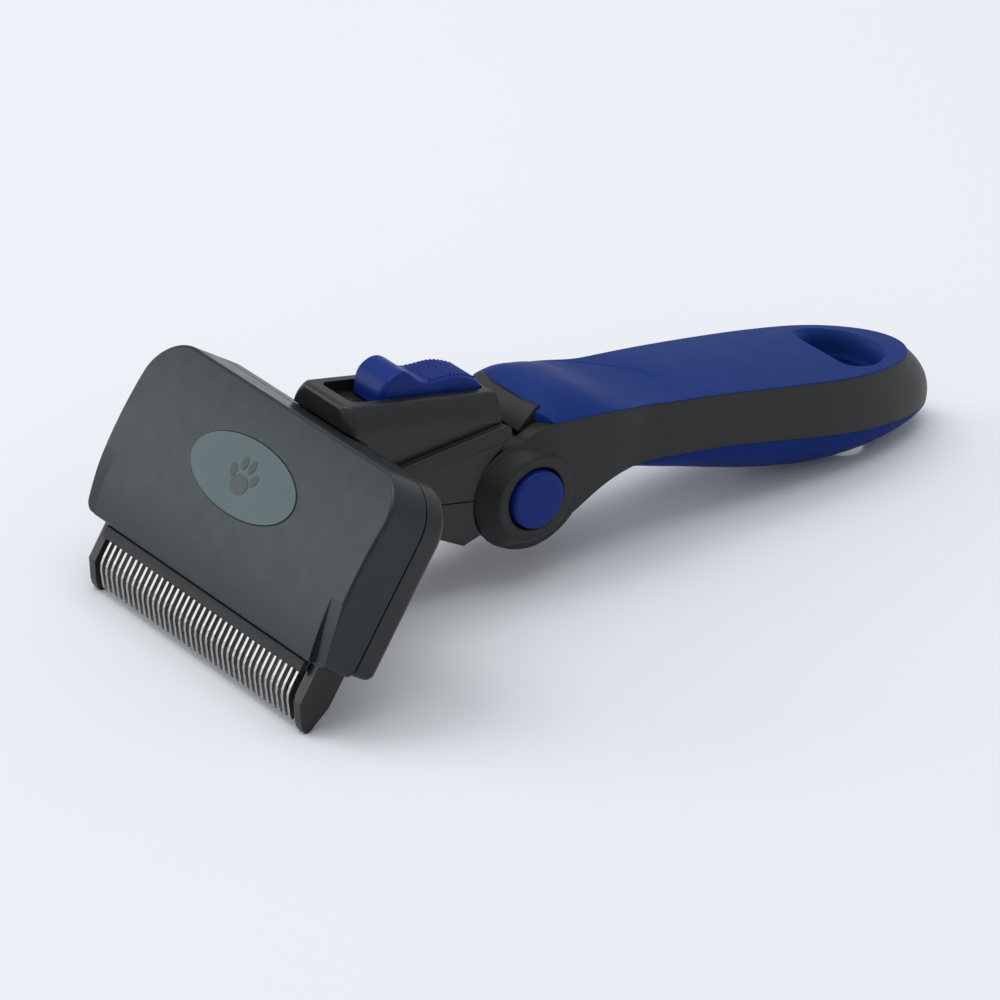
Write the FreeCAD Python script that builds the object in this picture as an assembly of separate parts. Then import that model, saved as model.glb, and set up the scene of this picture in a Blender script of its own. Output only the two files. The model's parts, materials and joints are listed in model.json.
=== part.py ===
"""Deshedding tool for dogs and cats: a wide comb head on a pivoting neck and a two-tone grip.

The whole tool is drawn around the pivot axis (origin on the axis, +X along the grip, +Y across
the tool, +Z up) and is moved at the end so that it stands on z = 0 with its box centred on the
origin. The head, the neck and the grip each have a frame of their own, tilted about Y.
"""
import FreeCAD
import Part

import math
import os

from FreeCAD import Matrix, Vector

# ---- overall layout, millimetres and degrees -----------------------------------------------------
GRIP_TILT = 8.8            # the grip falls this much towards its end
NECK_TILT = 11.2           # the neck rises this much towards the head
HEAD_TILT = 33.2           # the head plate leans this much from the vertical
HEAD_FOOT = (-91.7, -3.5)  # X and Z of the lower front edge of the head plate

# ---- head: x across, y up the plate, z out of the front face -------------------------------------
HEAD_HALF_WIDTH = 52.0
HEAD_TOP = 50.0
HEAD_CORNER = 12.0
HEAD_FOOT_CORNER = 2.5
CROWN_RADIUS = 115.0       # the front face is a shallow barrel about a level axis
CROWN_MIDDLE = 25.0        # height where the barrel stands proudest
FACE_EDGE = 0.9            # rounding of the face's outline
COVER_FOOT = 0.8
COVER_BACK = -13.0
SHELL_FOOT = 1.5
SHELL_FRONT = -13.5        # leaves a groove between the cover and the back shell
SHELL_BACK = -20.5
SHELL_EDGE = 2.2
WALL = 2.2
INNER_HALF = 46.8
INNER_TOP = 47.6
INNER_CORNER = 9.8
INNER_FRONT = -4.2
WING_START = 47.0          # outside this the lower corners fall back
WING_TOP = 17.7
WING_ANGLE = 4.8
BADGE_HEIGHT = 29.8
BADGE_HALF_LENGTH = 21.3
BADGE_HALF_HEIGHT = 9.45
BADGE_FLOOR = -2.0
BADGE_PROUD = 0.25

# ---- comb, its frame and the hair ejector, in the head's frame -----------------------------------
TOOTH_COUNT = 36
TOOTH_PITCH = 2.335
TOOTH_THICKNESS = 0.85
COMB_TOP = 12.0
COMB_ROOT = -2.2
COMB_FRONT = -6.6
COMB_BACK = -8.9
COMB_HALF = 43.2
TOOTH_SIDE = [(-1.8, -6.6), (-7.6, -6.65), (-9.4, -6.95), (-10.9, -7.75), (-12.6, -9.2), (-14.2, -10.5),
              (-14.9, -11.3), (-14.85, -11.9), (-14.2, -12.1), (-12.4, -11.0), (-10.8, -9.8),
              (-9.2, -9.05), (-7.4, -8.9), (-1.8, -8.9)]
CHEEK_INNER = 43.6
CHEEK_OUTER = 46.5
CHEEK_SIDE = [(12.0, -6.9), (-10.0, -7.1), (-14.4, -10.3), (-15.6, -11.5), (-16.2, -12.7),
              (-16.0, -13.5), (-15.2, -14.0), (-9.0, -15.9), (12.0, -15.9)]
FRAME_FOOT = -2.6
FRAME_BACK = -15.9
EJECTOR_FRONT = -5.0
EJECTOR_BACK = -6.3
EJECTOR_FOOT = -3.1
EJECTOR_BAR_TOP = 0.1
EJECTOR_SHEET = -5.7       # front of the sheet above the bar
EJECTOR_TRAVEL = 6.5
CARRIER_HALF = 14.0
CARRIER_FOOT = 19.0
CARRIER_TOP = 42.0
CARRIER_BACK = -8.3

# ---- neck: x along the neck, z up from it --------------------------------------------------------
NECK_TOP = 26.4
HOUSING_HALF = 12.9
HOUSING_HALF_TOP = 9.4
NECK_HALF = 13.7
TRIM_HALF = 15.1
NECK_INNER_HALF = 10.9
HOUSING_SIDE = [(-57.6, 20.4), (-57.6, 26.4), (-11.3, 26.4), (-10.8, 19.3), (-41.0, 11.1),
                (-54.1, 11.1), (-51.6, 17.4)]
BODY_SIDE = [(-58.85, -0.7), (-54.1, 11.1), (-41.0, 11.1), (-10.8, 19.3), (-9.5, 12.0),
             (-9.5, -0.7)]
BELLY_SIDE = [(-58.9, -1.0), (-59.3, -1.9), (-25.1, -10.5), (-16.3, -13.3), (-10.5, -10.4),
              (-9.5, -1.0)]
TRIM_SIDE = [(-54.2, 11.0), (-41.0, 11.0), (-10.6, 19.25), (-8.7, 18.6), (-8.1, 16.6),
             (-8.9, 14.95), (-39.9, 6.9), (-55.8, 6.9)]
POCKET_FRONT = -53.8
POCKET_REAR = -12.6
POCKET_HALF = 6.9
POCKET_FLOOR = 23.4
FLOOR_UNDER = 21.8
SLIDER_HALF = 6.5
SLIDER_EDGE = 1.3
SLIDER_CORNER = 2.2
SLIDER_SIDE = [(-44.5, 26.2), (-44.3, 27.6), (-43.5, 29.6), (-42.0, 31.4), (-40.0, 32.6),
               (-38.2, 32.8), (-36.2, 32.1), (-33.8, 30.5), (-31.6, 29.5), (-29.4, 29.3),
               (-26.0, 29.7), (-22.5, 30.1), (-18.5, 29.6), (-15.5, 28.7), (-13.6, 27.6),
               (-13.0, 26.4)]
RIB_COUNT = 12
RIB_START = -29.2
RIB_PITCH = 1.22
SLIDER_TRAVEL = 9.0
STEM_HALF = 3.5
STEM = (-35.0, -24.2)
CARRIAGE_TOP = 21.5
CARRIAGE_THICKNESS = 1.6
CARRIAGE_SCREWS = (-32.0, -27.0)

# ---- rocker that joins the slider to the ejector -------------------------------------------------
ROCKER_AXIS = (-45.0, 1.6)       # in the neck's frame
SLIDER_PIN_HEIGHT = 17.6         # cam pin of the carriage, in the neck's frame
CAM_PIN_RADIUS = 1.2
ROCKER_HALF = 1.6

# ---- pivot and lock ------------------------------------------------------------------------------
DRUM_RADIUS = 15.2
DRUM_HALF = 11.9
DRUM_ROOM = 16.3
FORK_GAP = 12.15
BOSS_RADIUS = 15.5
BOSS_FOOT = 13.0
BOSS_FACE = 18.6
BOSS_RING = 11.2
RING_OUTER = 13.5
RING_THROAT = 11.4
RING_MOUTH = 12.6
RING_INSET = 9.5
BUTTON_RADIUS = 7.7
BUTTON_BORE = 8.25
BUTTON_FACE = 20.0
BUTTON_EDGE = 1.0
FLANGE_BACK = 9.3
POCKET_INSET = 6.4
HUB_CORNER = 6.2
HUB_END = 14.0
SPRING_BORE = 4.6
RUN = 0.05

# ---- grip: s along the grip, t up from it --------------------------------------------------------
GRIP_WIDTHS = [(-15.5, 12.9), (-8.0, 14.4), (0.0, 16.6), (5.0, 17.3), (18.0, 17.6), (24.0, 17.4),
               (30.0, 16.7), (34.0, 16.25), (40.0, 16.45), (46.0, 16.8), (52.0, 17.1), (60.0, 17.45),
               (70.0, 18.0), (80.0, 18.35)]
GRIP_WIDEST = 18.45
SHOULDER = 95.0            # from here the outline closes as half an ellipse
END_LOW = 140.4
END_MIDDLE = 137.2
END_HIGH = 130.3
BAND_TOP = [(-4.0, 15.0), (3.3, 19.0), (10.0, 19.6), (18.0, 20.0), (24.0, 20.0), (30.0, 19.75),
            (34.0, 19.55), (40.0, 19.55), (52.0, 19.7), (60.0, 19.7), (70.0, 19.6), (80.0, 19.35),
            (97.0, 18.95), (113.0, 18.6), (130.0, 18.0)]
BAND_END = [(130.0, 18.0), (134.0, 15.6), (137.2, 12.0), (139.6, 7.5), (140.4, 4.6), (140.2, 3.0)]
BAND_UNDER = [(140.2, 3.0), (120.0, 3.0), (103.0, 3.4), (84.0, 4.4), (65.0, 5.2), (46.0, 4.9),
              (34.0, 3.9), (27.0, 2.3), (21.0, -0.8), (16.0, -5.0), (12.0, -8.2), (8.0, -11.0)]
CROWN = [(-1.0, 4.2), (1.0, 4.6), (4.0, 5.8), (8.0, 6.2), (14.0, 5.1), (20.0, 3.2), (26.0, 1.3),
         (31.0, 0.5), (37.0, 0.25), (42.0, 0.3), (46.0, 0.8), (49.0, 1.1), (60.0, 1.2), (80.0, 1.3),
         (97.0, 1.3), (113.0, 1.1), (122.0, 0.9), (131.0, 0.7)]
BELLY = [(26.0, 1.6), (34.0, 0.2), (42.0, -1.9), (52.0, -3.8), (62.0, -5.7), (72.0, -7.3),
         (82.0, -8.5), (92.0, -9.0), (102.0, -8.6), (112.0, -7.2), (121.0, -5.0), (130.0, -1.9),
         (136.0, 0.9), (140.0, 2.6)]
EDGE_RISE = 0.2
NOSE_END = 26.0            # in front of this the crown is squarer
LIP_START = 1.0
LIP_HALF = 12.2
PLUG_INSET = 1.6
PLUG_DEPTH = 2.0
HOLE_FLAT = 105.0
HOLE_END = 120.6
HOLE_HALF = 11.6
HOLE_CORNER = 5.0
HOLE_FLARE = 2.3
HOLE_TAPER = 2.6           # the hole narrows this much towards the underside
HOLE_LINING = 1.8         # blue wall that lines the hanging hole


# ---- small helpers -------------------------------------------------------------------------------
def block(x, y, z):
    """Box from three (low, high) pairs."""
    return Part.makeBox(x[1] - x[0], y[1] - y[0], z[1] - z[0], Vector(x[0], y[0], z[0]))


def side_prism(points, low, high):
    """Polygon of (x, z) points extruded along Y from low to high."""
    wire = Part.makePolygon([Vector(x, low, z) for x, z in points + points[:1]])
    return Part.Face(wire).extrude(Vector(0, high - low, 0))


def across_prism(points, low, high):
    """Polygon of (y, z) points extruded along X from low to high."""
    wire = Part.makePolygon([Vector(low, y, z) for y, z in points + points[:1]])
    return Part.Face(wire).extrude(Vector(high - low, 0, 0))


def rod(x, z, radius, low, high):
    """Round rod along Y."""
    return Part.makeCylinder(radius, high - low, Vector(x, low, z), Vector(0, 1, 0))


def post(x, y, radius, low, high):
    """Round post along Z."""
    return Part.makeCylinder(radius, high - low, Vector(x, y, low))


def pivot_cone(radius_low, radius_high, low, high):
    """Cone about the pivot axis from y = low to y = high."""
    if abs(radius_low - radius_high) < 1e-6:
        return rod(0, 0, radius_low, low, high)
    return Part.makeCone(radius_low, radius_high, high - low, Vector(0, low, 0), Vector(0, 1, 0))


def curve(points):
    """Smooth edge through the points."""
    spline = Part.BSplineCurve()
    spline.interpolate([Vector(*p) for p in points])
    return spline.toShape()


def fuse(solids):
    joined = solids[0].multiFuse(solids[1:])
    return joined.removeSplitter()


def cut(solid, tools):
    for tool in tools:
        solid = solid.cut(tool)
    return solid


def mirrored(solid):
    return solid.mirror(Vector(0, 0, 0), Vector(0, 1, 0))


def both_sides(solid):
    """The solid and its mirror image across the tool's middle plane."""
    return [solid, mirrored(solid)]


def rounded(solid, radius, chosen):
    """The solid with a fillet on every edge whose middle point passes the test."""
    edges = [e for e in solid.Edges if chosen(e.CenterOfMass, e)]
    return solid.makeFillet(radius, edges)


def tilted(shape, degrees, centre=(0, 0)):
    """A copy turned about a level axis along Y through centre (x, z)."""
    turned = shape.copy()
    turned.rotate(Vector(centre[0], 0, centre[1]), Vector(0, 1, 0), degrees)
    return turned


def in_grip(shape):
    return tilted(shape, GRIP_TILT)


def in_neck(shape):
    return tilted(shape, NECK_TILT)


def head_matrix():
    sine = math.sin(math.radians(HEAD_TILT))
    cosine = math.cos(math.radians(HEAD_TILT))
    return Matrix(0, sine, -cosine, HEAD_FOOT[0],
                  -1, 0, 0, 0,
                  0, cosine, sine, HEAD_FOOT[1],
                  0, 0, 0, 1)


def in_head(shape):
    moved = shape.copy()
    moved.Placement = FreeCAD.Placement(head_matrix()).multiply(shape.Placement)
    return moved


def neck_to_pivot(x, z):
    angle = math.radians(NECK_TILT)
    return (x * math.cos(angle) + z * math.sin(angle), -x * math.sin(angle) + z * math.cos(angle))


def pivot_to_head(x, z):
    """Height and depth in the head's frame."""
    point = head_matrix().inverse().multVec(Vector(x, 0, z))
    return (point.y, point.z)


def value_at(stations, s):
    """Straight-line value between (station, value) pairs."""
    for (s0, v0), (s1, v1) in zip(stations, stations[1:]):
        if s <= s1:
            return v0 + (v1 - v0) * max(0.0, s - s0) / (s1 - s0)
    return stations[-1][1]


def screw(x, y, seat, up, head_radius, head_height, shank_radius, length):
    """Pan-head screw along Z; the shank goes from the seat to the side given by up (+1 or -1)."""
    head = Part.makeCylinder(head_radius, head_height, Vector(x, y, seat), Vector(0, 0, -up))
    socket = Part.makeCylinder(head_radius * 0.45, head_height * 0.6,
                               Vector(x, y, seat - up * head_height), Vector(0, 0, up))
    shank = Part.makeCylinder(shank_radius, length, Vector(x, y, seat), Vector(0, 0, up))
    return head.fuse(shank).cut(socket)


def coil(radius, wire_radius, length, turns, steps=12, sides=6):
    """Spring along Z from the origin, its wire drawn with flat sides."""
    rise = (length - 2 * wire_radius) / (turns * steps)
    rings = []
    for step in range(turns * steps + 1):
        angle = 2 * math.pi * step / steps
        outward = Vector(math.cos(angle), math.sin(angle), 0)
        centre = outward * radius + Vector(0, 0, wire_radius + rise * step)
        ring = []
        for side in range(sides + 1):
            turn = 2 * math.pi * side / sides
            ring.append(centre + (outward * math.cos(turn) + Vector(0, 0, math.sin(turn))) * wire_radius)
        rings.append(Part.makePolygon(ring))
    return Part.makeLoft(rings, True, True)


# ---- head ----------------------------------------------------------------------------------------
def rounded_plate(half, foot, top, corner, foot_corner, low, high):
    """Plate across the head with rounded upper and lower corners."""
    plate = block((-half, half), (foot, top), (low, high))
    plate = rounded(plate, corner, lambda c, e: abs(c.y - top) < 0.01 and abs(abs(c.x) - half) < 0.01)
    if foot_corner > 0:
        plate = rounded(plate, foot_corner,
                        lambda c, e: abs(c.y - foot) < 0.01 and abs(abs(c.x) - half) < 0.01)
    return plate


def barrel(extra=0.0):
    """Solid under the crowned front face, raised by extra."""
    return Part.makeCylinder(CROWN_RADIUS + extra, 130, Vector(-65, CROWN_MIDDLE, -CROWN_RADIUS),
                             Vector(1, 0, 0))


def badge_oval(grow, low, high):
    ring = Part.Ellipse(Vector(0, BADGE_HEIGHT, low), BADGE_HALF_LENGTH + grow,
                        BADGE_HALF_HEIGHT + grow)
    return Part.Face(Part.Wire(ring.toShape())).extrude(Vector(0, 0, high - low))


def head_screw_places():
    corners = [(x, y) for x in (-38, 38) for y in (18, 38)]
    frame = [(x, 7) for x in (-26, 26)]
    return corners, frame


def front_cover():
    cover = rounded_plate(HEAD_HALF_WIDTH, COVER_FOOT, HEAD_TOP, HEAD_CORNER, HEAD_FOOT_CORNER,
                          COVER_BACK, 1.0)
    cover = cover.common(barrel())
    cover = rounded(cover, FACE_EDGE, lambda c, e: c.z > -4.5)
    fold = math.sqrt(CROWN_RADIUS ** 2 - (CROWN_MIDDLE - WING_TOP) ** 2) - CROWN_RADIUS
    lowered = barrel()
    lowered.rotate(Vector(0, WING_TOP, fold), Vector(1, 0, 0), WING_ANGLE)
    for low, high in ((WING_START, 53), (-53, -WING_START)):
        cover = cover.cut(block((low, high), (-2, WING_TOP), (-6, 2)).cut(lowered))
    cavity = rounded_plate(INNER_HALF, -5, INNER_TOP, INNER_CORNER, 0, -20, INNER_FRONT)
    cover = cut(cover, [cavity, badge_oval(0.12, BADGE_FLOOR, 2)])
    posts = [post(x, y, 2.8, -18.3, INNER_FRONT + 0.5) for x, y in head_screw_places()[0]]
    guides = [block((x, x + 1.6), (COMB_TOP + 0.6, 46), (-9.5, INNER_FRONT + 0.5))
              for x in (CARRIER_HALF + 0.3, -CARRIER_HALF - 1.9)]
    cover = fuse([cover] + posts + guides)
    pilots = [post(x, y, 1.0, -19, -11) for x, y in head_screw_places()[0]]
    return cut(cover, pilots)


def badge():
    return badge_oval(0.0, BADGE_FLOOR, 2).common(barrel(BADGE_PROUD))


def back_shell():
    shell = rounded_plate(HEAD_HALF_WIDTH, SHELL_FOOT, HEAD_TOP, HEAD_CORNER, HEAD_FOOT_CORNER,
                          SHELL_BACK, SHELL_FRONT)
    shell = rounded(shell, SHELL_EDGE, lambda c, e: abs(c.z - SHELL_BACK) < 0.01)
    rim = rounded_plate(HEAD_HALF_WIDTH - 1.2, SHELL_FOOT + 0.6, HEAD_TOP - 1.2, HEAD_CORNER - 1.2,
                        HEAD_FOOT_CORNER, SHELL_FRONT - 1, COVER_BACK)
    shell = shell.fuse(rim)
    cavity = rounded_plate(INNER_HALF, COMB_TOP + 0.6, INNER_TOP, INNER_CORNER, 0,
                           SHELL_BACK + WALL, -10)
    frame_room = block((-INNER_HALF, INNER_HALF), (-5, COMB_TOP + 1), (FRAME_BACK, -10))
    window = block((-5.7, 5.7), (22, 46), (SHELL_BACK - 1, -10))
    tools = [cavity, frame_room, window]
    corners, frame = head_screw_places()
    tools += [post(x, y, 1.15, SHELL_BACK - 1, -10) for x, y in corners + frame]
    tools += [post(x, y, 2.2, SHELL_BACK - 1, SHELL_BACK + 1.3) for x, y in corners + frame]
    tools += [post(x, y, 1.15, SHELL_BACK - 1, -10) for x, y in neck_screw_places()]
    return cut(shell, tools)


def head_screws():
    corners, frame = head_screw_places()
    return [screw(x, y, SHELL_BACK + 1.3, 1, 1.9, 1.1, 1.0, 7.0) for x, y in corners + frame]


def neck_screw_places():
    return [(x, y) for x in (-9.2, 9.2) for y in (33, 39)]


def mount_screws():
    """Screws driven from inside the back shell into the neck."""
    return [screw(x, y, SHELL_BACK + WALL, -1, 1.9, 1.2, 1.0, 6.0) for x, y in neck_screw_places()]


def blade_frame():
    cheek = across_prism(CHEEK_SIDE, CHEEK_INNER, CHEEK_OUTER)
    cheek = rounded(cheek, 0.3, lambda c, e: abs(c.x - CHEEK_OUTER) < 0.01 and c.y < -1)
    other = cheek.mirror(Vector(0, 0, 0), Vector(1, 0, 0))
    web = block((-CHEEK_INNER, CHEEK_INNER), (FRAME_FOOT, COMB_TOP), (FRAME_BACK, COMB_BACK))
    frame = fuse([web, cheek, other])
    tools = [post(x, 5, 0.9, -13, -8) for x in blade_screw_places()]
    tools += [post(x, y, 1.0, -16, -11.5) for x, y in head_screw_places()[1]]
    return cut(frame, tools)


def blade_screw_places():
    return [-36, -12, 12, 36]


def countersunk(x, y, top):
    """Flush screw along -Z."""
    head = Part.makeCone(0.9, 1.9, 1.2, Vector(x, y, top - 1.2))
    shank = post(x, y, 0.9, top - 6.0, top - 1.2)
    slot = block((x - 1.6, x + 1.6), (y - 0.25, y + 0.25), (top - 0.5, top))
    return head.fuse(shank).cut(slot)


def blade_screws():
    return [countersunk(x, 5, COMB_FRONT) for x in blade_screw_places()]


def comb_blade():
    spine = block((-COMB_HALF, COMB_HALF), (COMB_ROOT, COMB_TOP), (COMB_BACK, COMB_FRONT))
    holes = [Part.makeCone(0.9, 1.9, 1.2, Vector(x, 5, COMB_FRONT - 1.2))
             for x in blade_screw_places()]
    holes += [post(x, 5, 0.9, COMB_BACK - 1, COMB_FRONT) for x in blade_screw_places()]
    spine = cut(spine, holes)
    first = -TOOTH_PITCH * (TOOTH_COUNT - 1) / 2 - TOOTH_THICKNESS / 2
    teeth = []
    for index in range(TOOTH_COUNT):
        start = first + index * TOOTH_PITCH
        teeth.append(across_prism(TOOTH_SIDE, start, start + TOOTH_THICKNESS))
    return fuse([spine] + teeth)


def ejector_bar():
    """Wiper bar across the comb; the thinner sheet above it runs up behind the cover's foot."""
    bar = block((-COMB_HALF, COMB_HALF), (EJECTOR_FOOT, EJECTOR_BAR_TOP), (EJECTOR_BACK, EJECTOR_FRONT))
    bar = rounded(bar, 0.4, lambda c, e: abs(c.x) < 1 and abs(c.z - EJECTOR_FRONT) < 0.01)
    sheet = block((-COMB_HALF, COMB_HALF), (EJECTOR_BAR_TOP - 1, 3), (EJECTOR_BACK, EJECTOR_SHEET))
    tongue = block((-CARRIER_HALF, CARRIER_HALF), (2, CARRIER_FOOT + 5), (EJECTOR_BACK, EJECTOR_SHEET))
    return fuse([bar, sheet, tongue])


def cam_pin_rest():
    """Height and depth of the ejector's cam pin with the ejector drawn in."""
    height, depth = pivot_to_head(*neck_to_pivot(*ROCKER_AXIS))
    reach = (SLIDER_PIN_HEIGHT - ROCKER_AXIS[1]) * EJECTOR_TRAVEL / SLIDER_TRAVEL
    return (height + EJECTOR_TRAVEL / 2, depth + reach)


def ejector_carrier():
    plate = block((-CARRIER_HALF, CARRIER_HALF), (CARRIER_FOOT, CARRIER_TOP),
                  (CARRIER_BACK, EJECTOR_BACK))
    height, depth = cam_pin_rest()
    lugs = [block((x, x + 2.2), (height - 3, height + 2.4), (depth - 1.9, CARRIER_BACK + 1))
            for x in (ROCKER_HALF + 0.6, -ROCKER_HALF - 2.8)]
    pin = Part.makeCylinder(CAM_PIN_RADIUS, 8.0, Vector(-4.0, height, depth), Vector(1, 0, 0))
    return fuse([plate, pin] + lugs)


# ---- rocker --------------------------------------------------------------------------------------
def rocker_swing():
    """Degrees that the rocker turns over the slider's whole stroke."""
    arm = SLIDER_PIN_HEIGHT - ROCKER_AXIS[1]
    return 2 * math.degrees(math.atan(SLIDER_TRAVEL / 2 / arm))


def rocker_arm(reach, width):
    """Arm up the local Z axis with an open fork for a cam pin at the reach."""
    arm = block((-width / 2, width / 2), (-ROCKER_HALF, ROCKER_HALF), (0, reach + 1.9))
    tip = block((-2.5, 2.5), (-ROCKER_HALF, ROCKER_HALF), (reach - 3.4, reach + 1.9))
    slot_half = CAM_PIN_RADIUS + 0.35
    slot = block((-slot_half, slot_half), (-5, 5), (reach - 1.2, reach + 5))
    slot = slot.fuse(rod(0, reach - 1.2, slot_half, -5, 5))
    return arm.fuse(tip).cut(slot)


def rocker():
    """In the pivot frame, with the slider at rest."""
    upper = SLIDER_PIN_HEIGHT - ROCKER_AXIS[1]
    lower = upper * EJECTOR_TRAVEL / SLIDER_TRAVEL
    centre = neck_to_pivot(*ROCKER_AXIS)
    slide_arm = tilted(rocker_arm(upper, 4.4), NECK_TILT)
    eject_arm = tilted(rocker_arm(lower, 4.4), HEAD_TILT - 90)
    hub = rod(0, 0, 3.4, -ROCKER_HALF, ROCKER_HALF)
    crank = fuse([slide_arm, eject_arm, hub]).cut(rod(0, 0, 1.25, -5, 5))
    crank = tilted(crank, rocker_swing() / 2)
    crank.translate(Vector(centre[0], 0, centre[1]))
    return crank


def rocker_pin():
    return rod(ROCKER_AXIS[0], ROCKER_AXIS[1], 1.2, -NECK_INNER_HALF - 1.5, NECK_INNER_HALF + 1.5)


# ---- neck ----------------------------------------------------------------------------------------
def housing_section():
    """Cross-section of the thumb housing, upright sides that round in to a flat top."""
    start = -62
    low = 4
    wall = 17.0
    points = [(HOUSING_HALF, low), (HOUSING_HALF, wall)]
    top = [(HOUSING_HALF_TOP, NECK_TOP), (-HOUSING_HALF_TOP, NECK_TOP)]
    right = Part.makeLine(Vector(start, points[0][0], low), Vector(start, HOUSING_HALF, wall))
    arc = Part.Arc(Vector(start, HOUSING_HALF, wall), Vector(start, 12.0, 22.8),
                   Vector(start, top[0][0], NECK_TOP)).toShape()
    lid = Part.makeLine(Vector(start, top[0][0], NECK_TOP), Vector(start, top[1][0], NECK_TOP))
    far = Part.Arc(Vector(start, top[1][0], NECK_TOP), Vector(start, -12.0, 22.8),
                   Vector(start, -HOUSING_HALF, wall)).toShape()
    left = Part.makeLine(Vector(start, -HOUSING_HALF, wall), Vector(start, -HOUSING_HALF, low))
    base = Part.makeLine(Vector(start, -HOUSING_HALF, low), Vector(start, HOUSING_HALF, low))
    return Part.Face(Part.Wire([right, arc, lid, far, left, base])).extrude(Vector(56, 0, 0))


def neck_housing():
    housing = side_prism(HOUSING_SIDE, -HOUSING_HALF, HOUSING_HALF).common(housing_section())
    housing = rounded(housing, 2.6, lambda c, e: abs(c.x - HOUSING_SIDE[1][0]) < 0.1 and abs(c.y) > 8)
    housing = rounded(housing, 1.3, lambda c, e: c.z > NECK_TOP - 0.05)
    room = side_prism([(-55.4, FLOOR_UNDER), (-13.4, FLOOR_UNDER), (-13.4, 0), (-55.4, 0)],
                      -NECK_INNER_HALF + 0.6, NECK_INNER_HALF - 0.6)
    pocket = block((POCKET_FRONT, POCKET_REAR), (-POCKET_HALF, POCKET_HALF), (POCKET_FLOOR, 30))
    pocket = rounded(pocket, 2.4, lambda c, e: abs(c.z - (POCKET_FLOOR + 30) / 2) < 0.1)
    slot = block((STEM[0] - SLIDER_TRAVEL - 0.4, STEM[1] + 0.4), (-STEM_HALF - 0.3, STEM_HALF + 0.3),
                 (20, 25))
    housing = cut(housing, [room, pocket, slot])
    stop = block((-50.6, -49.0), (4.0, NECK_INNER_HALF), (15.0, FLOOR_UNDER + 0.5))
    return fuse([housing] + both_sides(stop))


def neck_post_places():
    return [(x, y) for x in (-49.5, -27.0) for y in (-8.3, 8.3)]


def neck_body():
    body = side_prism(BODY_SIDE, -NECK_HALF, NECK_HALF)
    room = side_prism([(-55.9, -2), (-51.2, 13), (-40, 20), (-19.5, 20), (-19.5, -2)],
                      -NECK_INNER_HALF, NECK_INNER_HALF)
    window = side_prism([(-61, -2), (-61, 14), (-50, 14), (-50, -2)], -5.6, 5.6)
    body = cut(body, [room, window])
    posts = [post(x, y, 2.8, -0.7, 9.0) for x, y in neck_post_places()]
    body = fuse([body] + posts)
    tools = [post(x, y, 1.0, -2, 6.0) for x, y in neck_post_places()]
    tools.append(rocker_pin())
    body = cut(body, tools)
    body = in_neck(body)
    arm_room = both_sides(rod(0, 0, BOSS_RADIUS + 0.4, DRUM_HALF, 20))
    body = cut(body, arm_room)
    body = body.fuse(rod(0, 0, DRUM_RADIUS, -DRUM_HALF, DRUM_HALF))
    pockets = both_sides(rod(0, 0, RING_OUTER + RUN, POCKET_INSET, DRUM_HALF + 1))
    body = cut(body, pockets)
    hubs = both_sides(hexagon(HUB_CORNER, POCKET_INSET - 1, HUB_END))
    body = body.fuse(hubs).removeSplitter()
    holes = both_sides(rod(0, 0, SPRING_BORE, 2.0, HUB_END + 1))
    holes += [in_head(post(x, y, 1.0, -26, -20)) for x, y in neck_screw_places()]
    return cut(body, holes)


def neck_bottom_cover():
    cover = side_prism(BELLY_SIDE, -NECK_HALF, NECK_HALF)
    cover = rounded(cover, 1.2, lambda c, e: abs(abs(c.y) - NECK_HALF) < 0.01 and c.z < -3)
    rim = side_prism([(-58.4, -0.7), (-9.5, -0.7), (-9.5, -2), (-58.0, -2)], -NECK_HALF + 1,
                     NECK_HALF - 1)
    room = side_prism([(-54, 1), (-20.5, 1), (-20.5, -9.0), (-26, -8.2), (-54, -1.2)],
                      -NECK_INNER_HALF, NECK_INNER_HALF)
    bosses = [post(x, y, 2.9, seat - 0.1, -0.7) for x, y, seat in neck_cover_screw_seats()]
    keep = side_prism(BELLY_SIDE[:1] + [(-59.3, -1.9), (-25.1, -10.5), (-16.3, -13.3), (-9.5, -10.4),
                      (-9.5, -0.7), (-58.8, -0.7)], -NECK_HALF, NECK_HALF)
    cover = fuse([cover, rim])
    cover = cover.cut(room)
    cover = fuse([cover] + [boss.common(keep) for boss in bosses])
    tools = [post(x, y, 1.15, -12, 0) for x, y, seat in neck_cover_screw_seats()]
    tools += [post(x, y, 2.2, -14, seat) for x, y, seat in neck_cover_screw_seats()]
    cover = in_neck(cut(cover, tools))
    return cover.cut(rod(0, 0, BOSS_RADIUS + 0.4, -20, 20))


def neck_cover_screw_seats():
    return [(x, y, -2.2 if x < -40 else -7.6) for x, y in neck_post_places()]


def neck_screws():
    screws = []
    for x, y, seat in neck_cover_screw_seats():
        length = 4.5 - seat
        screws.append(screw(x, y, seat, 1, 1.9, 1.2, 1.0, length))
    return screws


def neck_trim():
    strip = side_prism(TRIM_SIDE, NECK_HALF, TRIM_HALF)
    strip = rounded(strip, 0.6, lambda c, e: abs(c.y - TRIM_HALF) < 0.01)
    return both_sides(strip)


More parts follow.
